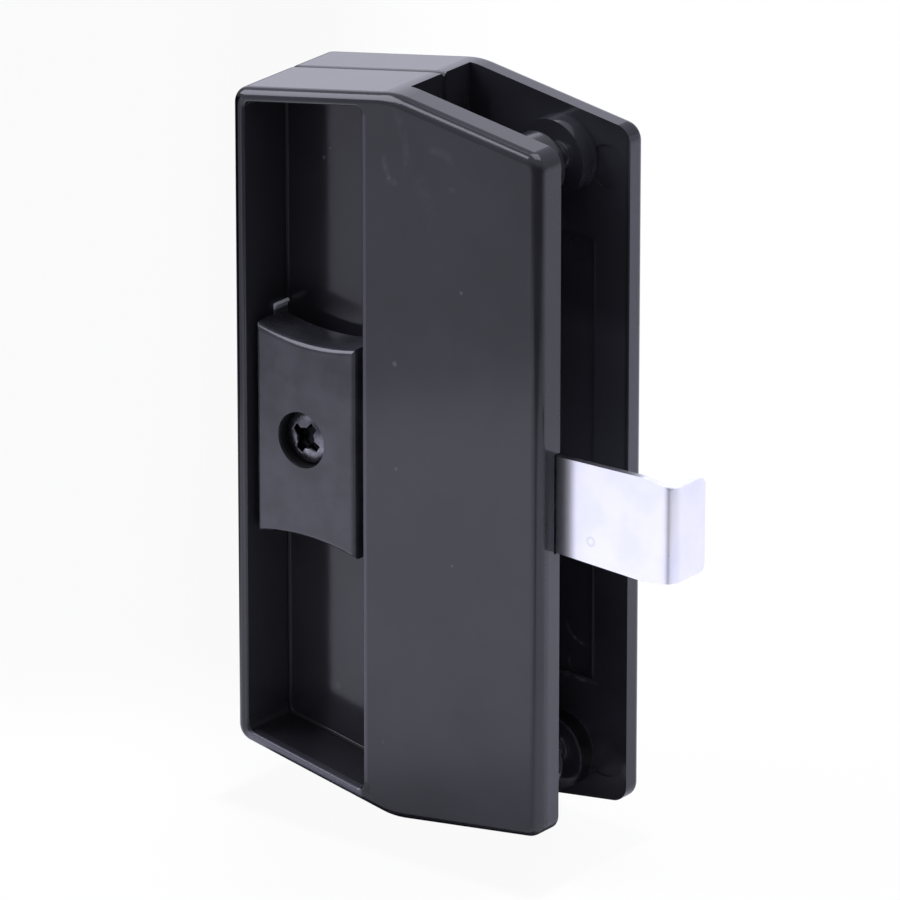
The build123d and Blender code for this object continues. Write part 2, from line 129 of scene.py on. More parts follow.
# Painted highlight along the cup's lower rim
LOWER_RIM_HIGHLIGHT = (
    4.3,
    0.0,
    (FRONT_FACE, (LOWER_SLOPE, -0.0519, 0.00025, 0.0006), (ACROSS, -0.0157, 0.01, 0.0008)),
)
# Painted shade along the front housing's left rim
LEFT_RIM_SHADE = (0.1, 0.0, (FRONT_FACE, (ACROSS, -0.0275, 0.0008, 0.0003)))
# Painted shade on the cup's lower wall, which is also made duller
LOWER_CUP_WALL_SHADE = (
    0.3,
    0.2,
    (CUP_WIDTH, (DEPTH, -0.0068, 0.0045, 0.0003), (LOWER_SLOPE, -0.0505, 0.0007, 0.0002)),
)
# Painted light on the cup's left wall
LEFT_CUP_WALL_LIGHT = (
    1.35,
    0.0,
    ((ACROSS, -0.0262, 0.0004, 0.0003), (DEPTH, -0.0065, 0.0046, 0.0004), (UP, 0.0, 0.047, 0.0008)),
)
# Painted light on the front housing's right end face
FRONT_END_LIGHT = (
    2.6,
    0.0,
    ((ACROSS, FRONT_END, 0.0002, 0.0002), (DEPTH, -0.0072, 0.0014, 0.0012), (UP, -0.025, 0.02, 0.015)),
)
# Painted shade that dims the bright line at the cup's foot, which is also made duller
CUP_FOOT_SHADE = (0.3, 0.5, (CUP_WIDTH, *CUP_ENDS, (DEPTH, -0.0022, 0.00022, 0.00008)))
# The front housing's painted light and shade
FRONT_LIGHT_AND_SHADE = (
    SEAM_SHADE,
    RIGHT_RIM_HIGHLIGHT,
    LOWER_RIM_HIGHLIGHT,
    LEFT_RIM_SHADE,
    LOWER_CUP_WALL_SHADE,
    LEFT_CUP_WALL_LIGHT,
    FRONT_END_LIGHT,
    CUP_FOOT_SHADE,
)

BACK_FACE = (DEPTH, BACK_INSIDE, 0.0008, 0.0003)
BACK_WIDTH = (ACROSS, 0.0155, 0.0115, 0.0008)
# Painted light on the back housing's inside face, high up and in the middle
UPPER_INSIDE_LIGHT = (1.5, 0.0, (BACK_FACE, BACK_WIDTH, (UP, 0.028, 0.018, 0.006)))
MIDDLE_INSIDE_LIGHT = (2.4, 0.0, (BACK_FACE, BACK_WIDTH, (UP, 0.009, 0.009, 0.006)))
# Painted highlight along the edge of the relief on the back housing's inside face
RELIEF_HIGHLIGHT = (2.2, 0.0, (BACK_FACE, (ACROSS, 0.0219, 0.0002, 0.0003), (UP, 0.0, 0.032, 0.001)))
# Painted shade low on the back housing's inside face, which is also made duller
LOWER_INSIDE_SHADE = (0.9, 0.12, (BACK_FACE, BACK_WIDTH, (UP, -0.052, 0.008, 0.008)))
# Painted shade on the side of the lower pad, which is also made duller
PAD_SIDE_SHADE = (
    0.1,
    0.15,
    ((DEPTH, 0.005, 0.0011, 0.0003), (ACROSS, 0.0167, 0.0065, 0.001), (UP, -0.0444, 0.0065, 0.001)),
)
# Painted light on the back housing's right end face
BACK_END_LIGHT = (2.6, 0.0, ((ACROSS, BACK_END, 0.0002, 0.0002), (UP, 0.025, 0.02, 0.015)))
# The back housing's painted light and shade
BACK_LIGHT_AND_SHADE = (SEAM_SHADE, UPPER_INSIDE_LIGHT, MIDDLE_INSIDE_LIGHT, RELIEF_HIGHLIGHT, LOWER_INSIDE_SHADE, PAD_SIDE_SHADE, BACK_END_LIGHT)

# The strip's shade at its notch: direction, where it is bright and dark along it, and the dark part's gain
NOTCH_SHADE = (ACROSS, 0.0302, 0.0284, 0.4)

# The buttons' moulding is lighter, lumpier and less flat than the housings'
BUTTON_FINISH = {"waviness": 2.5, "gain": 1.6, "lumps": 4.0}

# Gain of the painted highlight along the front button's left edge, then how far the painted shade in the pit
# round its screw reaches past the head, and how far it starts behind the button's face
BUTTON_EDGE_HIGHLIGHT = 4.0
PIT_SHADE_GAP = 0.0007
PIT_SHADE_START = 0.0003

# The leaf spring's shade: where it is bright and dark below the spring's top, and the dark part's gain
SPRING_BRIGHT = 0.0007
SPRING_DARK = 0.0012
SPRING_GAIN = 0.1

# How far each pattern moves the roughness, from its lowest to its highest
CLOUD_ROUGHNESS = 0.08
GRAIN_ROUGHNESS = 0.03
LINE_ROUGHNESS = 0.1
SPOT_ROUGHNESS = 0.2

# The point of the model that the camera looks at, then moved right and down in the picture, in metres
AIM = (0.0017, -0.0014, 0.0)
AIM_RIGHT = 0.000859
AIM_DOWN = 0.000821

# How far the floor reaches to the sides and away, in metres, and its share of plain white for the camera
FLOOR_REACH = 6.0
FLOOR_WHITE = 0.95

# The floor's paint with painted shadows and light, from 0 for black to 1 for its colour: what the whole floor
# has, then what each product of steps adds to it, as (strength, steps). A step is (way, where it is 0, where
# it is 1), in metres.
FLOOR_PAINT = 1.1
FLOOR_SHADES = (
    (-0.5, (("left", 0.165, 0.185),)),
    (-0.45, (("near", 0.06, 0.2),)),
    (0.55, (("left", -0.005, -0.04),)),
    (-0.7, (("left", -0.07, -0.2),)),
    (-0.12, (("left", 0.04, 0.0),)),
    (-0.34, (("left", 0.05, 0.02), ("left", -0.02, 0.005))),
    (-0.95, (("near", -0.01, -0.07), ("left", 0.0, 0.03))),
)

# Painted shadow on the floor under the model's foot, and its bands
FOOT_SHADE = 0.9
FOOT_BANDS = ((DEPTH, 0.0, 0.0125, 0.004), (ACROSS, -0.001, 0.0275, 0.003))

# Lamps, each (name, direction from the model, distance, side, name of the setting that is its power)
LAMPS = (
    ("key_lamp", (-0.68, -0.42, 0.6), 1.2, 0.86, "key_light"),
    ("back_card", (-0.6, 0.76, 0.27), 1.6, 1.15, "back_light"),
    ("top_lamp", (0.1, 0.2, 1.0), 1.2, 1.0, "top_light"),
)


class Field:
    """A shader output that can be used in an expression: each operator adds the Math node for it."""

    def __init__(self, shader, socket):
        self.shader = shader
        self.socket = socket

    def _math(self, operation, first, second):
        return self.shader.node("ShaderNodeMath", {"operation": operation}, {0: first, 1: second})

    def __add__(self, other):
        return self._math("ADD", self, other)

    __radd__ = __add__

    def __sub__(self, other):
        return self._math("SUBTRACT", self, other)

    def __rsub__(self, other):
        return self._math("SUBTRACT", other, self)

    def __mul__(self, other):
        return self._math("MULTIPLY", self, other)

    __rmul__ = __mul__

    def __abs__(self):
        return self._math("ABSOLUTE", self, 0.0)


class Shader:
    """The node tree of a new material, or one that is given, with a single method that adds any node."""

    def __init__(self, name, tree=None):
        self.material = None
        if tree is None:
            self.material = bpy.data.materials.new(name)
            self.material.use_nodes = True
            tree = self.material.node_tree
        self.tree = tree
        self.tree.nodes.clear()

    def node(self, kind, settings=None, inputs=None, output=0):
        """Adds a node of that kind, sets its settings, then feeds its sockets."""
        made = self.tree.nodes.new(kind)
        for key, value in (settings or {}).items():
            setattr(made, key, value)
        for key, value in (inputs or {}).items():
            if isinstance(value, Field):
                self.tree.links.new(value.socket, made.inputs[key])
            else:
                made.inputs[key].default_value = value
        return Field(self, made.outputs[output]) if made.outputs else None

    def place(self):
        """The piece's own coordinates, in metres."""
        return self.node("ShaderNodeTexCoord", output="Object")

    def noise(self, size, detail=2.0, rough=0.5, stretch=(1, 1, 1)):
        """Noise from 0 to 1 with lumps of about that size in metres, drawn out along stretch."""
        vector = self.node(
            "ShaderNodeMapping",
            {"vector_type": "POINT"},
            {"Vector": self.place(), "Scale": [1 / (size * share) for share in stretch]},
        )
        return self.node(
            "ShaderNodeTexNoise", None, {"Vector": vector, "Scale": 1.0, "Detail": detail, "Roughness": rough}
        )

    def step(self, value, start, end):
        """0 at start, 1 at end and a smooth change between them, whichever of the two is the higher."""
        return self.node(
            "ShaderNodeMapRange",
            {"interpolation_type": "SMOOTHSTEP"},
            {"Value": value, "From Min": start, "From Max": end, "To Min": 0.0, "To Max": 1.0},
        )

    def dot(self, vector, direction):
        """How far a vector goes along a direction."""
        return self.node(
            "ShaderNodeVectorMath", {"operation": "DOT_PRODUCT"}, {0: vector, 1: direction}, output="Value"
        )

    def along(self, direction):
        """How far the place lies along a direction, in metres."""
        return self.dot(self.place(), direction)

    def distance(self, point):
        """Distance from a point of the piece, in metres."""
        return self.node(
            "ShaderNodeVectorMath", {"operation": "DISTANCE"}, {0: self.place(), 1: point}, output="Value"
        )

    def band(self, direction, place, half, softness):
        """1 within half of a place along a direction, falling to 0 over the softness on both sides."""
        return self.step(abs(self.along(direction) - place), half + softness, half)

    def near(self, point, radius, softness):
        """1 within radius of a point, falling to 0 over the softness."""
        return self.step(self.distance(point), radius + softness, radius)

    def arc(self, centre, radius, width):
        """1 on the shell of that radius round a point, falling to 0 over the width on both sides."""
        return self.step(abs(self.distance(centre) - radius), width, 0.0)

    def blend(self, factor, first, second):
        """Colour between first and second."""
        colours = {"Factor": factor, "A": first, "B": second}
        return self.node("ShaderNodeMix", {"data_type": "RGBA"}, colours, output="Result")

    def recess(self, screw):
        """1 in the recess of a screw, where a painted shade goes, given by its crown's middle, the way it
        faces along Y and the recess's reach. It starts below the crown, so the crown itself stays clear."""
        crown, facing, reach = screw
        start, full, margin, softness = 0.0004, 0.0007, 0.0001, 0.0003
        sunk = self.step((crown[1] - self.along(DEPTH)) * facing, start, full)
        return sunk * self.near(crown, reach + margin, softness)

    def bump(self, height, distance, strength=1.0):
        """Normal raised by a height from 0 to 1 over that distance in metres."""
        inputs = {"Height": height, "Distance": distance, "Strength": strength}
        return self.node("ShaderNodeBump", None, inputs)

    def finish(self, inputs):
        """Principled surface with these inputs, wired to the output."""
        surface = self.node("ShaderNodeBsdfPrincipled", None, inputs)
        self.node("ShaderNodeOutputMaterial", None, {"Surface": surface})
        return self.material


def opaque(colour, gain=1.0):
    """The colour times gain, with alpha 1."""
    return (colour[0] * gain, colour[1] * gain, colour[2] * gain, 1.0)


def moulded_plastic(
    name, settings, specks=(), smears=(), patches=(), waviness=1.0, pit=None, gain=1.0, lumps=1.0
):
    """Satin black moulding: fine grain, slow waves that bend its reflections, and faint flow clouds.
    On it lie specks of dust, curved smears, patches of painted light and shade and a painted shade in a screw
    pit, given by places.
    Gain lightens the colour, and lumps shrinks the clouds and deepens them."""
    speck_core, speck_fade, speck_tint, speck_roughness = 0.5, 0.8, 0.15, 0.08
    smear_core, smear_fade, smear_roughness = 0.5, 0.6, 0.12
    pit_edge, pit_rise, pit_shade_gain, pit_roughness = 0.0001, 0.0003, 0.1, 0.5
    noise_low, noise_high = 0.3, 0.7
    cloud_tint, lump_tint = 0.15, 0.03

    shader = Shader(name)
    clouds = shader.noise(settings.cloud_size / lumps, detail=3.0)
    waves = shader.noise(settings.wave_size, detail=0.0)
    grain = shader.noise(settings.grain_size, detail=1.0)
    spread = cloud_tint + lump_tint * (lumps - 1.0)
    colour = shader.blend(
        shader.step(clouds, noise_low, noise_high),
        opaque(settings.plastic, (1.0 - spread) * gain),
        opaque(settings.plastic, (1.0 + spread) * gain),
    )
    rough = clouds * CLOUD_ROUGHNESS + (settings.plastic_roughness - CLOUD_ROUGHNESS / 2)
    rough = rough + grain * GRAIN_ROUGHNESS
    for point, radius in specks:
        spot = shader.near(point, radius * speck_core, radius * speck_fade)
        colour = shader.blend(spot * speck_tint, colour, opaque(settings.scuff))
        rough = rough + spot * speck_roughness
    if smears:
        rub = shader.step(shader.noise(settings.rub_size, detail=4.0, rough=0.6), noise_low, noise_high)
    for middle, reach, centre, radius, width, strength in smears:
        stretch = shader.near(middle, reach * smear_core, reach * smear_fade)
        streak = shader.arc(centre, radius, width) * stretch * rub * strength
        colour = shader.blend(streak * settings.smear, colour, opaque(settings.scuff))
        rough = rough + streak * smear_roughness
    # Painted light and shade over parts of the surface
    for tone, dulling, bands in patches:
        patch = 1.0
        for band in bands:
            patch = shader.band(*band) * patch
        colour = shader.blend(patch, colour, opaque(settings.plastic, tone))
        rough = rough + patch * dulling
    # Painted shade in the pit round a screw
    if pit:
        centre, radius, depth = pit
        sunk = shader.step(shader.along(DEPTH), depth, depth + pit_rise)
        sunk = shader.near(centre, radius, pit_edge) * sunk
        colour = shader.blend(sunk, colour, opaque(settings.plastic, pit_shade_gain))
        rough = rough + sunk * pit_roughness
    height = grain + waves * (waviness * settings.wave_depth / settings.grain_depth)
    return shader.finish(
        {
            "Base Color": colour,
            "Roughness": rough,
            "IOR": settings.plastic_ior,
            "Normal": shader.bump(height, settings.grain_depth),
        }
    )


def zinc_plate(name, settings, along=(8, 1, 1), marks=(), satin=0.0, metal=1.0, shade=None, screw=None):
    """Bright zinc plating: drawn out rolling lines with their bump, and a faint blue cast in clouds.
    Marks are thin grey rings where something was pressed on it, shade is a painted shade over one end along a
    direction, and a screw gets a painted shade in its recess."""
    cloud_low, cloud_high = 0.35, 0.7
    mark_tint, mark_gain, recess_shade_gain = 0.3, 0.45, 0.22
    bump_strength = 0.5

    shader = Shader(name)
    lines = shader.noise(settings.line_size, detail=3.0, stretch=along)
    clouds = shader.step(shader.noise(settings.cloud_size), cloud_low, cloud_high)
    colour = shader.blend(clouds, opaque(settings.zinc), opaque(settings.zinc_blue))
    for mark in marks:
        colour = shader.blend(shader.arc(*mark) * mark_tint, colour, opaque(settings.zinc, mark_gain))
    if shade:
        direction, bright, dark, gain = shade
        shaded = shader.step(shader.along(direction), bright, dark)
        colour = shader.blend(shaded, colour, opaque(settings.zinc, gain))
    if screw:
        # Painted shade in the screw's recess
        colour = shader.blend(shader.recess(screw), colour, opaque(settings.zinc, recess_shade_gain))
    return shader.finish(
        {
            "Base Color": colour,
            "Metallic": metal,
            "Roughness": lines * LINE_ROUGHNESS + (settings.zinc_roughness - LINE_ROUGHNESS / 2 + satin),
            "Normal": shader.bump(lines, settings.line_depth, bump_strength),
        }
    )


def dark_steel(name, settings, screw):
    """Black oxide on a screw: dark metal, rubbed lighter in spots on the head, and a painted shade that
    blackens the recess.
    """
    worn_low, worn_high, recess_shade_gain, bump_strength = 0.4, 0.9, 0.06, 0.4

    shader = Shader(name)
    spots = shader.noise(settings.spot_size)
    worn = shader.step(spots, worn_low, worn_high)
    colour = shader.blend(worn, opaque(settings.oxide), opaque(settings.oxide_worn))
    # Painted shade in the recess
    colour = shader.blend(shader.recess(screw), colour, opaque(settings.oxide, recess_shade_gain))
    return shader.finish(
        {
            "Base Color": colour,
            "Metallic": 1.0,
            "Roughness": spots * SPOT_ROUGHNESS + (settings.oxide_roughness - SPOT_ROUGHNESS / 2),
            "Normal": shader.bump(spots, settings.spot_depth, bump_strength),
        }
    )


def dress(node, material):
    """Gives a CAD node its material, in place of the ones it was imported with."""
    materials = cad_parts[node].data.materials
    materials.clear()
    materials.append(material)


def polar_mesh(name, points):
    """A closed mesh from rings of points of shape (rows, columns, 3): a quad joins each two neighbours of a
    ring to those of the next ring, and fans close the first and the last ring over their middles."""
    rows, columns, _ = points.shape
    row = np.arange(rows - 1)[:, None] * columns
    column = np.arange(columns)[None, :]
    after = (column + 1) % columns
    quads = np.stack([row + column, row + after, row + columns + after, row + columns + column], -1)
    first_middle, last_middle = rows * columns, rows * columns + 1
    ring = np.arange(columns)
    start_fan = np.stack([np.roll(ring, -1), ring, np.full(columns, first_middle)], -1)
    ring = ring + (rows - 1) * columns
    end_fan = np.stack([ring, np.roll(ring, -1), np.full(columns, last_middle)], -1)
    vertices = np.vstack([points.reshape(-1, 3), points[0].mean(0)[None], points[-1].mean(0)[None]])
    faces = quads.reshape(-1, 4).tolist() + start_fan.tolist() + end_fan.tolist()
    mesh = bpy.data.meshes.new(name)
    mesh.from_pydata(vertices.tolist(), [], faces)
    mesh.polygons.foreach_set("use_smooth", np.ones(len(mesh.polygons), bool))
    mesh.update()
    piece = bpy.data.objects.new(name, mesh)
    bpy.context.scene.collection.objects.link(piece)
    return piece


def smooth(value):
    """0 below 0, 1 above 1, and a smooth rise between them."""
    value = np.clip(value, 0, 1)
    return value * value * (3 - 2 * value)


def threaded_shank(settings, top, angle):
    """Radius and height of the shank's rings, up to the height of the head's underside. The thread is a ridge
    that rises one pitch a turn and fades out below the head, and the radius shrinks towards the point."""
    rings, tip_share, ridge_slope, fade_start = 220, 0.45, 1.5, 0.2
    height = np.linspace(0.0, top, rings)[:, None]
    turn = height / settings.pitch - angle / (2 * np.pi)
    ridge = smooth((1 - np.abs((turn % 1.0) * 2 - 1)) * ridge_slope)
    taper = smooth(height / settings.point) * (1 - tip_share) + tip_share
    fade = smooth((top - height) / settings.pitch - fade_start)
    radius = (settings.thread_radius - settings.thread_depth * (1 - ridge) * fade) * taper
    return radius, height + 0 * angle


def recessed_crown(settings, head_radius, edge, angle):
    """Radius and height over the head's underside of the crown's rings, from the head's edge to its middle.
    The first rings round the edge in a quarter turn, and the rest fall from the middle as a power of the
    radius. The recess is the deeper of two tapering arms at right angles and of a pit where they cross."""
    rings, edge_share, pole_share = 150, 0.12, 0.004
    doming, doming_power = 0.42, 2.6
    arm_taper, floor_rise, arm_edge, end_edge = 0.25, 0.35, 0.0001, 0.1
    pit_share, pit_edge = 1.9, 0.0005

    sweep = np.linspace(0.0, 1.0, rings)[:, None]
    on_edge = sweep < edge_share
    quarter = np.minimum(sweep / edge_share, 1.0) * np.pi / 2
    inward = 1 - (sweep - edge_share) / (1 - edge_share)
    out = np.where(on_edge, head_radius - edge * (1 - np.sin(quarter)), head_radius * inward)
    out = np.maximum(out, head_radius * pole_share) + 0 * angle
    crown = settings.head_height * (1 - doming * (out / head_radius) ** doming_power)
    crown = np.where(on_edge, crown * smooth(sweep / edge_share), crown)

    across = out * np.cos(angle - settings.recess_turn)
    along = out * np.sin(angle - settings.recess_turn)
    arms = np.zeros_like(out)
    for length, width in ((across, along), (along, across)):
        reach = np.abs(length) / settings.recess_reach
        side = (settings.recess_width * (1 - arm_taper * reach) - np.abs(width)) / arm_edge
        arms = np.maximum(arms, smooth(side) * smooth((1 - reach) / end_edge) * (1 - floor_rise * reach))
    pit = smooth((settings.recess_width * pit_share - out) / pit_edge)
    return out, crown - settings.recess_depth * np.maximum(arms, pit)


def screw_piece(name, node, facing, settings, material):
    """A pan head screw in the CAD screw's box. Rings round an axis along Y run up the threaded shank, out
    under the head and over its crown to the middle. Facing is 1 for a head at the back and -1 in front."""
    columns, under_rings, edge = 192, 8, 0.0002
    low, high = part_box(node)
    middle = (low + high) / 2
    head_radius = (high.x - low.x) / 2
    shank_top = high.y - low.y - settings.head_height
    angle = np.linspace(0, 2 * np.pi, columns, endpoint=False)[None, :]

    shank, shank_height = threaded_shank(settings, shank_top, angle)
    under = np.linspace(settings.thread_radius, head_radius - edge, under_rings)[:, None] + 0 * angle
    out, crown = recessed_crown(settings, head_radius, edge, angle)

    radius = np.vstack([shank, under, out])
    rise = np.vstack([shank_height, np.full_like(under, shank_top), shank_top + crown])
    start = low.y if facing > 0 else high.y
    x = middle.x - facing * radius * np.cos(angle)
    z = middle.z + radius * np.sin(angle)
    piece = polar_mesh(name, np.stack([x, start + facing * rise, z], -1))
    piece.data.materials.append(material)
    return piece


class LatchPlastic(PropertyGroup):
    """Colours and texture of the mouldings."""

    plastic: FloatVectorProperty(
        name="Plastic",
        description="Colour of the black mouldings",
        subtype="COLOR",
        default=(0.0235, 0.0235, 0.028),
    )
    scuff: FloatVectorProperty(
        name="Scuff", description="Colour of scuffs and specks", subtype="COLOR", default=(0.32, 0.32, 0.35)
    )
    plastic_roughness: FloatProperty(name="Roughness", description="Satin of the mouldings", default=0.12)
    plastic_ior: FloatProperty(name="IOR", description="Refraction of the mouldings", default=1.5)
    grain_size: FloatProperty(
        name="Grain",
        description="Size of the mould's fine grain",
        default=0.00035,
        unit="LENGTH",
        precision=6,
    )
    grain_depth: FloatProperty(
        name="Grain depth", description="Depth of the grain", default=0.000004, unit="LENGTH", precision=6
    )
    cloud_size: FloatProperty(
        name="Clouds", description="Size of the faint flow clouds", default=0.018, unit="LENGTH"
    )
    wave_size: FloatProperty(
        name="Waves", description="Size of the surface's slow waves", default=0.007, unit="LENGTH"
    )
    wave_depth: FloatProperty(
        name="Wave depth", description="Depth of the slow waves", default=0.00002, unit="LENGTH", precision=6
    )
    rub_size: FloatProperty(
        name="Rub", description="Size of a smear's broken patches", default=0.0016, unit="LENGTH"
    )
    smear: FloatProperty(name="Smear", description="Strength of the smears", default=0.08)


class LatchMetal(PropertyGroup):
    """Colours and texture of the metal pieces."""

    zinc: FloatVectorProperty(
        name="Zinc", description="Colour of the plating", subtype="COLOR", default=(0.95, 0.955, 0.97)
    )
    zinc_blue: FloatVectorProperty(
        name="Blue zinc",
        description="Colour of the plating's blue clouds",
        subtype="COLOR",
        default=(0.88, 0.9, 0.98),
    )
    zinc_roughness: FloatProperty(name="Zinc roughness", description="Satin of the plating", default=0.3)
    line_size: FloatProperty(
        name="Lines", description="Spacing of the rolling lines", default=0.0004, unit="LENGTH", precision=6
    )
    line_depth: FloatProperty(
        name="Line depth",
        description="Depth of the rolling lines",
        default=0.000002,
        unit="LENGTH",
        precision=6,
    )
    cloud_size: FloatProperty(
        name="Clouds", description="Size of the colour clouds", default=0.006, unit="LENGTH"
    )
    oxide: FloatVectorProperty(
        name="Oxide", description="Colour of the dark screw", subtype="COLOR", default=(0.15, 0.15, 0.165)
    )
    oxide_worn: FloatVectorProperty(
        name="Worn oxide",
        description="Colour of the dark screw's rubbed spots",
        subtype="COLOR",
        default=(0.3, 0.3, 0.33),
    )
    oxide_roughness: FloatProperty(name="Oxide roughness", description="Satin of the dark screw", default=0.3)
    spot_size: FloatProperty(
        name="Spots", description="Size of the rubbed spots", default=0.0008, unit="LENGTH", precision=6
    )
    spot_depth: FloatProperty(
        name="Spot depth",
        description="Depth of the rubbed spots",
        default=0.00001,
        unit="LENGTH",
        precision=6,
    )


class LatchScrew(PropertyGroup):
    """Sizes of the screws' heads and threads."""

    head_height: FloatProperty(
        name="Head", description="Height of the head", default=0.0017, unit="LENGTH", precision=5
    )
    pitch: FloatProperty(
        name="Pitch", description="Pitch of the thread", default=0.0014, unit="LENGTH", precision=5
    )
    thread_radius: FloatProperty(
        name="Thread", description="Outer radius of the thread", default=0.002, unit="LENGTH", precision=5
    )
    thread_depth: FloatProperty(
        name="Thread depth", description="Depth of the thread", default=0.00045, unit="LENGTH", precision=5
    )
    point: FloatProperty(
        name="Point", description="Length of the point", default=0.0012, unit="LENGTH", precision=5
    )
    recess_turn: FloatProperty(
        name="Turn", description="Turn of the cross recess", default=0.995, unit="ROTATION"
    )
    recess_reach: FloatProperty(
        name="Recess",
        description="Reach of the recess from the middle",
        default=0.0025,
        unit="LENGTH",
        precision=5,
    )
    recess_width: FloatProperty(
        name="Recess arm", description="Half width of an arm", default=0.00086, unit="LENGTH", precision=5
    )
    recess_depth: FloatProperty(
        name="Recess depth", description="Depth of the recess", default=0.0015, unit="LENGTH", precision=5
    )


class LatchStage(PropertyGroup):
    """Camera, floor and lamps."""

    azimuth: FloatProperty(
        name="Azimuth", description="Camera's turn to the right, in degrees", default=38.44
    )
    elevation: FloatProperty(
        name="Elevation", description="Camera's height above the horizon, in degrees", default=21.3
    )
    distance: FloatProperty(name="Distance", description="Camera to target", default=1.3999, unit="LENGTH")
    lens: FloatProperty(
        name="Lens", description="Focal length in millimetres on a 36 mm sensor", default=400.0
    )
    floor_drop: FloatProperty(
        name="Floor drop", description="Floor below the object", default=0.004, unit="LENGTH"
    )
    floor_front: FloatProperty(
        name="Floor front", description="Floor's edge in front of the object", default=0.2, unit="LENGTH"
    )
    floor_colour: FloatVectorProperty(
        name="Floor colour",
        description="Colour of the pale floor",
        subtype="COLOR",
        default=(0.87, 0.868, 0.88),
    )
    world: FloatProperty(name="World", description="Strength of the even light", default=0.5)
    world_above: FloatProperty(name="World above", description="Strength added overhead", default=0.15)
    world_dark: FloatProperty(
        name="World front", description="How much darker the even light is in front", default=0.4
    )
    tint: FloatVectorProperty(
        name="Tint", description="Colour of the light", subtype="COLOR", default=(0.86, 0.855, 1.0)
    )
    key_light: FloatProperty(
        name="Key light", description="Power of the lamp above, to the left", default=11.0
    )
    back_light: FloatProperty(name="Back light", description="Power of the card behind", default=3.6)
    top_light: FloatProperty(name="Top light", description="Power of the lamp overhead", default=9.0)


def camera_axes(settings):
    """The camera's right, up and back directions for its azimuth and elevation."""
    turn, rise = math.radians(settings.azimuth), math.radians(settings.elevation)
    back = Vector((math.sin(turn) * math.cos(rise), -math.cos(turn) * math.cos(rise), math.sin(rise)))
    right = Vector((math.cos(turn), math.sin(turn), 0.0))
    return right, back.cross(right), back


def aim(name, data, right, up, back, place):
    """Adds a camera or lamp at place, looking against the direction back, and returns its object."""
    holder = bpy.data.objects.new(name, data)
    bpy.context.scene.collection.objects.link(holder)
    rows = [(right[axis], up[axis], back[axis], place[axis]) for axis in range(3)]
    holder.matrix_world = Matrix((*rows, (0, 0, 0, 1)))
    return holder


def softbox(name, target, direction, distance, side, power, tint):
    """A square area lamp that shines at target from a direction."""
    lamp = bpy.data.lights.new(name, "AREA")
    lamp.color = tint
    lamp.shape = "SQUARE"
    lamp.size = side
    lamp.energy = power
    back = Vector(direction).normalized()
    right = Vector(UP).cross(back).normalized()
    aim(name, lamp, right, back.cross(right), back, target + back * distance)


def floor_paint(settings, right):
    """The floor's pale colour with painted shadows and light on it. The camera sees it nearly white."""
    paint = Shader("pale_floor")
    ways = {"near": paint.along((right.y, -right.x, 0.0)), "left": paint.along((-right.x, -right.y, 0.0))}
    # Painted shadows and light over the floor
    shade = FLOOR_PAINT
    for strength, steps in FLOOR_SHADES:
        amount = strength
        for way, start, end in steps:
            amount = paint.step(ways[way], start, end) * amount
        shade = amount + shade
    # Painted shadow under the model's foot
    foot = FOOT_SHADE
    for band in FOOT_BANDS:
        foot = paint.band(*band) * foot
    tone = paint.blend(shade - foot, (0.0, 0.0, 0.0, 1.0), opaque(settings.floor_colour))
    matte = paint.node("ShaderNodeBsdfDiffuse", None, {"Color": tone})
    white = paint.node("ShaderNodeEmission", None, {"Color": (1, 1, 1, 1), "Strength": 1.0})
    seen = paint.node("ShaderNodeLightPath", output="Is Camera Ray")
    mixed = paint.node("ShaderNodeMixShader", None, {0: seen * FLOOR_WHITE, 1: matte, 2: white})
    paint.node("ShaderNodeOutputMaterial", None, {"Surface": mixed})
    return paint.material


def floor_below(settings, right, height):
    """A wide floor at a height, turned to the camera, that ends a little in front of the object."""
    side, away = Vector((right.x, right.y, 0)), Vector((-right.y, right.x, 0))
    near = -settings.floor_front
    far = FLOOR_REACH
    ends = ((-far, near), (far, near), (far, far), (-far, far))
    corners = [side * across + away * ahead + Vector((0, 0, height)) for across, ahead in ends]
    mesh = bpy.data.meshes.new("floor")
    mesh.from_pydata([corner.to_tuple() for corner in corners], [], [(0, 1, 2, 3)])
    mesh.materials.append(floor_paint(settings, right))
    floor = bpy.data.objects.new("floor", mesh)
    bpy.context.scene.collection.objects.link(floor)


def studio_world(settings, back):
    """An even tinted light, brighter overhead and darker on the camera's side. To the camera it is white."""
    sky_low, sky_high, front_low, front_high = 0.1, 0.7, 0.3, 0.75

    world = bpy.data.worlds.new("studio")
    bpy.context.scene.world = world
    world.use_nodes = True
    studio = Shader("studio", world.node_tree)
    toward = studio.node("ShaderNodeTexCoord", output="Generated")
    sky = studio.step(studio.dot(toward, UP), sky_low, sky_high)
    front = studio.step(studio.dot(toward, (back.x, back.y, 0.0)), front_low, front_high) * (1.0 - sky)
    even = sky * settings.world_above + settings.world - front * settings.world_dark
    lit = studio.node("ShaderNodeBackground", None, {"Color": opaque(settings.tint), "Strength": even})
    plain = studio.node("ShaderNodeBackground", None, {"Color": (1, 1, 1, 1), "Strength": 1.0})
    seen = studio.node("ShaderNodeLightPath", output="Is Camera Ray")
    mixed = studio.node("ShaderNodeMixShader", None, {0: seen, 1: lit, 2: plain})
    studio.node("ShaderNodeOutputWorld", None, {"Surface": mixed})


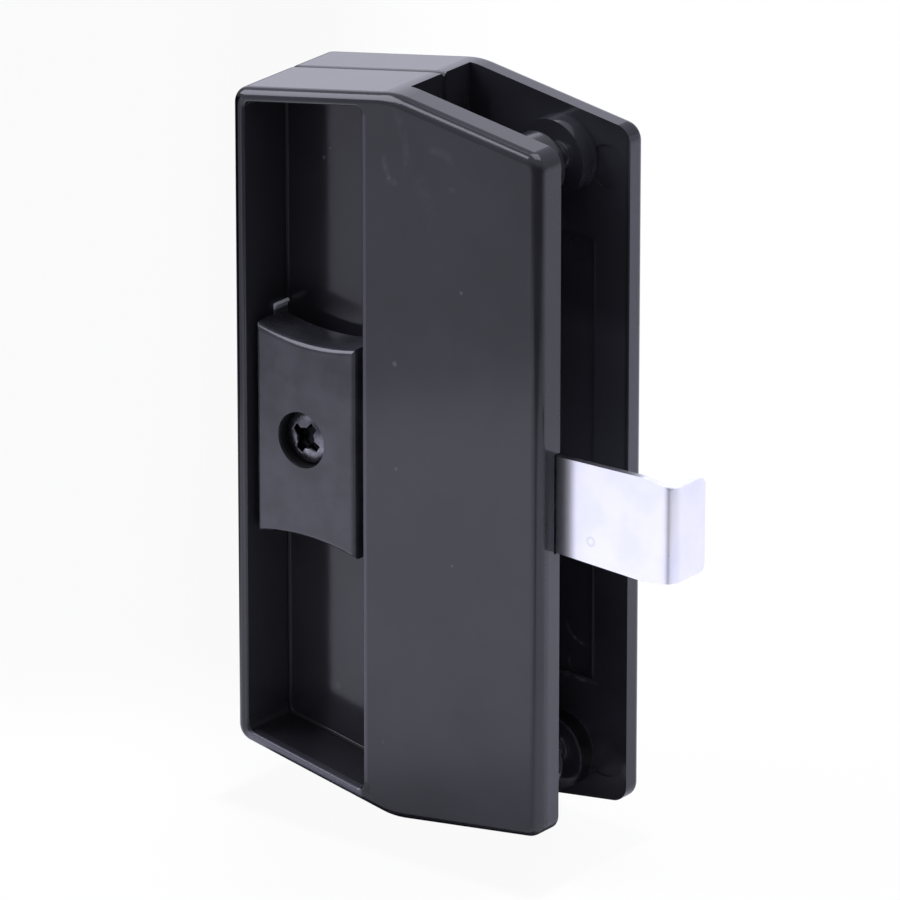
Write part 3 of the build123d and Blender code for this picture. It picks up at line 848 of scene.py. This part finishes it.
class LATCH_OT_stage(Operator):
    """Sets the camera at the photograph's angle, the floor, the world and the lamps"""

    bl_idname = "latch.stage"
    bl_label = "Stage"

    def execute(self, context):
        settings = context.scene.latch_stage
        low, high = (Vector(corner) for corner in CAD_BOX)
        right, up, back = camera_axes(settings)
        lens = bpy.data.cameras.new("camera")
        lens.lens = settings.lens
        lens.clip_end = 20.0
        target = Vector(AIM) + right * AIM_RIGHT - up * AIM_DOWN
        context.scene.camera = aim("camera", lens, right, up, back, target + back * settings.distance)
        floor_below(settings, right, low.z - settings.floor_drop)
        studio_world(settings, back)
        middle = (low + high) / 2
        for name, direction, distance, side, setting in LAMPS:
            power = getattr(settings, setting)
            softbox(name, middle, direction, distance, side, power, settings.tint)
        context.scene.view_settings.view_transform = "Standard"
        return {"FINISHED"}


class LATCH_OT_mouldings(Operator):
    """Gives the housings, the slide block and the buttons their moulded plastic"""

    bl_idname = "latch.mouldings"
    bl_label = "Mouldings"

    def execute(self, context):
        settings = context.scene.latch_plastic
        front = moulded_plastic("front_plastic", settings, DUST, SMEARS, FRONT_LIGHT_AND_SHADE)
        back = moulded_plastic("back_plastic", settings, smears=PIN_MARK_AND_EDGE_HIGHLIGHT, patches=BACK_LIGHT_AND_SHADE)
        dress("front_housing", front)
        dress("back_housing", back)
        dress("slide_block", moulded_plastic("block_plastic", settings))
        dress("back_button", moulded_plastic("back_button_plastic", settings, **BUTTON_FINISH))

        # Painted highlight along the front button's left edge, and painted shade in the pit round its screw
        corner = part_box("front_button")[0]
        highlight_bands = ((DEPTH, corner.y, 0.0004, 0.0002), (ACROSS, corner.x, 0.0002, 0.0003))
        edge = (BUTTON_EDGE_HIGHLIGHT, 0.0, highlight_bands)
        low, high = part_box("button_screw")
        centre = ((low.x + high.x) / 2, low.y, (low.z + high.z) / 2)
        pit = (centre, (high.x - low.x) / 2 + PIT_SHADE_GAP, corner.y + PIT_SHADE_START)
        plastic = moulded_plastic("button_plastic", settings, patches=(edge,), pit=pit, **BUTTON_FINISH)
        dress("front_button", plastic)
        return {"FINISHED"}


class LATCH_OT_metal(Operator):
    """Gives the strip and the spring their metal"""

    bl_idname = "latch.metal"
    bl_label = "Metal"

    def execute(self, context):
        settings = context.scene.latch_metal
        dress("latch_strip", zinc_plate("strip_zinc", settings, marks=PRESS_MARKS, shade=NOTCH_SHADE))
        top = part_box("leaf_spring")[1].z
        shade = (UP, top - SPRING_BRIGHT, top - SPRING_DARK, SPRING_GAIN)
        steel = zinc_plate("spring_steel", settings, along=(1, 1, 8), satin=0.1, metal=0.0, shade=shade)
        dress("leaf_spring", steel)
        return {"FINISHED"}


class LATCH_OT_screws(Operator):
    """Makes the three screws with their threads and cross recesses"""

    bl_idname = "latch.screws"
    bl_label = "Screws"

    def execute(self, context):
        metal, screw = context.scene.latch_metal, context.scene.latch_screw
        for name, node, facing, body, slot in (
            ("button_screw_detail", "button_screw", -1, "latch", "black_steel"),
            ("upper_screw_detail", "upper_mounting_screw", 1, "housing", "zinc_plated_screw"),
            ("lower_screw_detail", "lower_mounting_screw", 1, "housing", "zinc_plated_screw"),
        ):
            low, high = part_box(node)
            crown = ((low.x + high.x) / 2, high.y if facing > 0 else low.y, (low.z + high.z) / 2)
            # Where the painted shade of the recess goes
            recess = (crown, facing, screw.recess_reach)
            if slot == "black_steel":
                material = dark_steel(node + "_oxide", metal, recess)
            else:
                material = zinc_plate(node + "_zinc", metal, along=(1, 4, 1), screw=recess)
            piece = screw_piece(name, node, facing, screw, material)
            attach(piece, body)
            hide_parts(node)
        return {"FINISHED"}


class LATCH_PT_panel(Panel):
    """Sizes, colours and steps of the latch"""

    bl_idname = "LATCH_PT_panel"
    bl_label = "Screen Latch"
    bl_space_type = "VIEW_3D"
    bl_region_type = "UI"
    bl_category = "Screen Latch"

    def draw(self, context):
        for key in GROUPS:
            group = getattr(context.scene, key)
            box = self.layout.box()
            for name in group.__annotations__:
                box.prop(group, name)
        for operator in OPERATORS:
            self.layout.operator(operator.bl_idname)


GROUPS = {
    "latch_plastic": LatchPlastic,
    "latch_metal": LatchMetal,
    "latch_screw": LatchScrew,
    "latch_stage": LatchStage,
}
OPERATORS = (LATCH_OT_stage, LATCH_OT_mouldings, LATCH_OT_metal, LATCH_OT_screws)


def register():
    for name, group in GROUPS.items():
        bpy.utils.register_class(group)
        setattr(bpy.types.Scene, name, PointerProperty(type=group))
    for cls in (*OPERATORS, LATCH_PT_panel):
        bpy.utils.register_class(cls)


def unregister():
    for cls in (LATCH_PT_panel, *reversed(OPERATORS)):
        bpy.utils.unregister_class(cls)
    for name, group in GROUPS.items():
        delattr(bpy.types.Scene, name)
        bpy.utils.unregister_class(group)


def main():
    """Runs the steps in order."""
    register()
    bpy.ops.latch.stage()
    bpy.ops.latch.mouldings()
    bpy.ops.latch.metal()
    bpy.ops.latch.screws()


if __name__ == "__main__":
    main()
